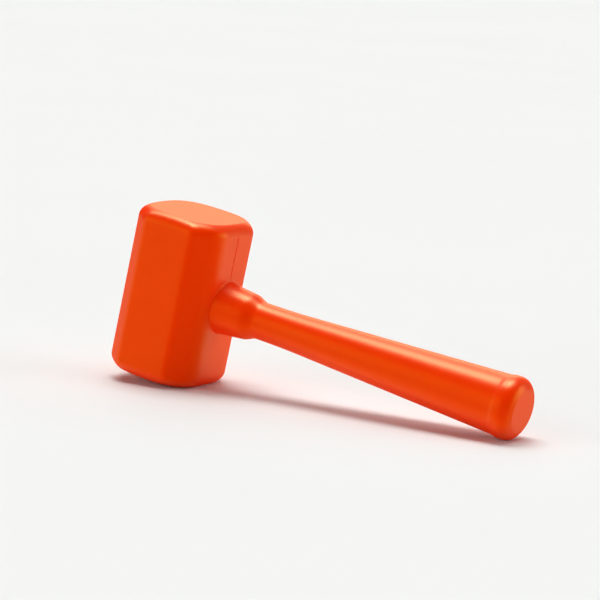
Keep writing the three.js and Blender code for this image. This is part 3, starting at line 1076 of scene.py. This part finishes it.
@dataclass(frozen=True)
class WorkedSteel:
    """Bare steel with lines along the way it was worked: dull where drawn, bright where turned or ground."""

    name: str
    dark: str
    light: str
    roughness: tuple[float, float]
    line_mm: tuple[float, float, float]
    tilt: float
    line_depth_mm: float = 0.02

    def material(self) -> bpy.types.Material:
        """Noise stretched along the lines, in the hammer's own axes, for tone, satin and a shallow bump.

        Returns:
            The new material.
        """
        material, tree = fresh_material(self.name)
        place = add_node(tree, "ShaderNodeTexCoord").outputs["Object"]
        stretch = tuple(size * MM for size in self.line_mm)
        along = add_node(tree, "ShaderNodeMapping", {"vector_type": "TEXTURE"}, {
            "Vector": place, "Rotation": (0.0, self.tilt, 0.0), "Scale": stretch})
        lines = add_node(tree, "ShaderNodeTexNoise", inputs={
            "Vector": along.outputs["Vector"], "Scale": 1.0, "Detail": 4.0, "Roughness": 0.6})
        colour = add_node(tree, "ShaderNodeMix", {"data_type": "RGBA"}, {
            0: lines.outputs["Fac"], 6: linear(self.dark), 7: linear(self.light)})
        satin = add_node(tree, "ShaderNodeMapRange", inputs={
            "Value": lines.outputs["Fac"], "From Min": 0.25, "From Max": 0.75,
            "To Min": self.roughness[0], "To Max": self.roughness[1]})
        bump = add_node(tree, "ShaderNodeBump", inputs={
            "Height": lines.outputs["Fac"], "Strength": 0.2, "Distance": self.line_depth_mm * MM})
        surface = add_node(tree, "ShaderNodeBsdfPrincipled", inputs={
            "Base Color": colour.outputs[2], "Metallic": 1.0, "Roughness": satin.outputs["Result"],
            "Normal": bump.outputs["Normal"]})
        add_node(tree, "ShaderNodeOutputMaterial", inputs={"Surface": surface.outputs["BSDF"]})
        return material


@dataclass(frozen=True)
class MattFloor:
    """A seamless matt sheet: almost white, with a faint cloudiness."""

    name: str = "matt floor"
    pale: str = "#ECEDEB"
    shade: str = "#E9EAE8"
    cloud_mm: float = 400.0

    def material(self) -> bpy.types.Material:
        """A rough, almost even white.

        Returns:
            The new material.
        """
        material, tree = fresh_material(self.name)
        place = add_node(tree, "ShaderNodeTexCoord").outputs["Object"]
        cloud = add_node(tree, "ShaderNodeTexNoise", inputs={"Vector": place, "Scale": per_mm(self.cloud_mm)})
        colour = add_node(tree, "ShaderNodeMix", {"data_type": "RGBA"}, {
            0: cloud.outputs["Fac"], 6: linear(self.pale), 7: linear(self.shade)})
        surface = add_node(tree, "ShaderNodeBsdfDiffuse", inputs={"Color": colour.outputs[2]})
        add_node(tree, "ShaderNodeOutputMaterial", inputs={"Surface": surface.outputs["BSDF"]})
        return material


@dataclass(frozen=True)
class SoftLamp:
    """A broad distant lamp, such as a softbox some way off.

    Attributes:
        name: the lamp's name.
        towards: the direction from the hammer to the lamp.
        strength: the light on a surface that faces it.
        spread_deg: how wide it looks from the hammer.
        colour: its colour.
        gloss_only: whether it only shows in reflections, as a white card does.
    """

    name: str
    towards: tuple[float, float, float]
    strength: float
    spread_deg: float
    colour: str = "#FFFFFF"
    gloss_only: bool = False

    def place(self) -> None:
        """Puts the lamp in the scene."""
        data = bpy.data.lights.new(self.name, "SUN")
        data.energy = self.strength
        data.angle = math.radians(self.spread_deg)
        data.color = linear(self.colour)[:3]
        lamp = bpy.data.objects.new(self.name, data)
        lamp.rotation_euler = Vector(self.towards).to_track_quat("Z", "Y").to_euler()
        lamp.visible_diffuse = not self.gloss_only
        bpy.context.scene.collection.objects.link(lamp)


@dataclass
class Studio:
    """The floor, the lamps, the light of the room and the camera."""

    floor_half_m: float = 30.0
    floor_lines: int = 5
    room_light: float = 0.05
    azimuth_deg: float = 30.08
    elevation_deg: float = 8.5
    roll_deg: float = 4.14
    distance_mm: float = 1718.8
    aim_mm: tuple[float, float, float] = (-13.18, -5.36, 61.35)
    focal_px: float = 2962.3
    frame_px: float = 600.0
    sensor_mm: float = 36.0
    clip_m: tuple[float, float] = (0.05, 200.0)
    lamps: tuple[SoftLamp, ...] = (
        SoftLamp("overhead_softbox", (-0.03, 0.12, 1.0), 1.02, 32.0),
        SoftLamp("left_softbox", (-0.3, 0.12, 0.95), 0.77, 34.0),
        SoftLamp("left_front_softbox", (-0.4, 0.0, 0.92), 0.3, 25.0),
        SoftLamp("right_softbox", (0.26, 0.08, 0.96), 0.4, 30.0),
        SoftLamp("back_left_softbox", (-0.42, 0.6, 0.68), 0.35, 30.0),
        SoftLamp("overhead_card", (-0.1, 0.03, 0.99), 1.0, 26.0, gloss_only=True),
        SoftLamp("back_card", (-0.43, 0.86, 0.3), 1.4, 36.0, "#FFE2EA", gloss_only=True),
        SoftLamp("back_fill", (-0.2, 0.95, 0.3), 0.3, 60.0),
        SoftLamp("front_fill", (-0.44, -0.86, 0.08), 1.6, 60.0),
        SoftLamp("right_fill", (0.9, 0.4, 0.12), 1.35, 50.0),
    )

    def lay_floor(self) -> None:
        """A flat sheet at the height that the hammer rests at."""
        half = self.floor_half_m
        side = np.linspace(-half, half, self.floor_lines)
        across, along = np.meshgrid(side, side, indexing="ij")
        points = np.stack([across, along, np.zeros_like(across)], axis=-1)
        quads = grid_quads(self.floor_lines, self.floor_lines, 0)[:, ::-1]
        mesh = bpy.data.meshes.new("floor")
        mesh.from_pydata(points.reshape(-1, 3).tolist(), [], quads.tolist())
        mesh.materials.append(MattFloor().material())
        floor = bpy.data.objects.new("floor", mesh)
        bpy.context.scene.collection.objects.link(floor)

    def light_room(self) -> None:
        """The dim light of the room, a little brighter towards the ceiling."""
        world = bpy.data.worlds.new("studio")
        world.use_nodes = True
        bpy.context.scene.world = world
        tree = world.node_tree
        tree.nodes.clear()
        height = add_node(tree, "ShaderNodeSeparateXYZ", inputs={
            0: add_node(tree, "ShaderNodeTexCoord").outputs["Generated"]})
        level = add_node(tree, "ShaderNodeMapRange", inputs={
            "Value": height.outputs["Z"], "To Min": self.room_light, "To Max": 2.0 * self.room_light})
        light = add_node(tree, "ShaderNodeBackground", inputs={
            "Color": linear("#FFFFFF"), "Strength": level.outputs["Result"]})
        add_node(tree, "ShaderNodeOutputWorld", inputs={"Surface": light.outputs["Background"]})

    def set_camera(self) -> None:
        """A camera at the photo's angle and focal length, turned a little about its own axis."""
        azimuth, elevation, roll = map(math.radians, (self.azimuth_deg, self.elevation_deg, self.roll_deg))
        back = Vector((math.sin(azimuth) * math.cos(elevation), -math.cos(azimuth) * math.cos(elevation),
                       math.sin(elevation)))
        level = Vector((math.cos(azimuth), math.sin(azimuth), 0.0))
        upright = back.cross(level)
        right = level * math.cos(roll) + upright * math.sin(roll)
        up = upright * math.cos(roll) - level * math.sin(roll)
        data = bpy.data.cameras.new("photo_camera")
        data.sensor_width = self.sensor_mm
        data.lens = self.focal_px / self.frame_px * self.sensor_mm
        data.clip_start, data.clip_end = self.clip_m
        camera = bpy.data.objects.new("photo_camera", data)
        turn = Matrix((right, up, back)).transposed().to_4x4()
        place = (Vector(self.aim_mm) + back * self.distance_mm) * MM
        camera.matrix_world = Matrix.Translation(place) @ turn
        bpy.context.scene.collection.objects.link(camera)
        bpy.context.scene.camera = camera

    def set_up(self) -> None:
        """Lays the floor, lights the room and sets the camera and the view transform."""
        self.lay_floor()
        self.light_room()
        for lamp in self.lamps:
            lamp.place()
        self.set_camera()
        bpy.context.scene.view_settings.view_transform = "Standard"


def main() -> None:
    """Sets up the studio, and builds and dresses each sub-assembly."""
    logging.basicConfig(level=logging.INFO, format="%(message)s")
    axes = HammerAxes.from_frame()
    Studio().set_up()
    drawn = WorkedSteel("drawn mild steel", "#7E8388", "#9CA1A6", (0.38, 0.55), (2.0, 2.0, 40.0), axes.tilt)
    bright = WorkedSteel("turned bright steel", "#9A9EA2", "#B6BABD",
                         (0.22, 0.36), (40.0, 1.2, 1.2), axes.tilt)
    shot = WorkedSteel("cut steel shot", "#5F6367", "#85898D", (0.25, 0.45), (1.5, 1.5, 1.5), axes.tilt)
    skeleton = Skeleton(axes)
    Casing(axes, skeleton).dress(CastPolyurethane().material())
    skeleton.dress(drawn.material(), bright.material())
    ShotCharge(axes, skeleton).dress(shot.material())


if __name__ == "__main__":
    main()
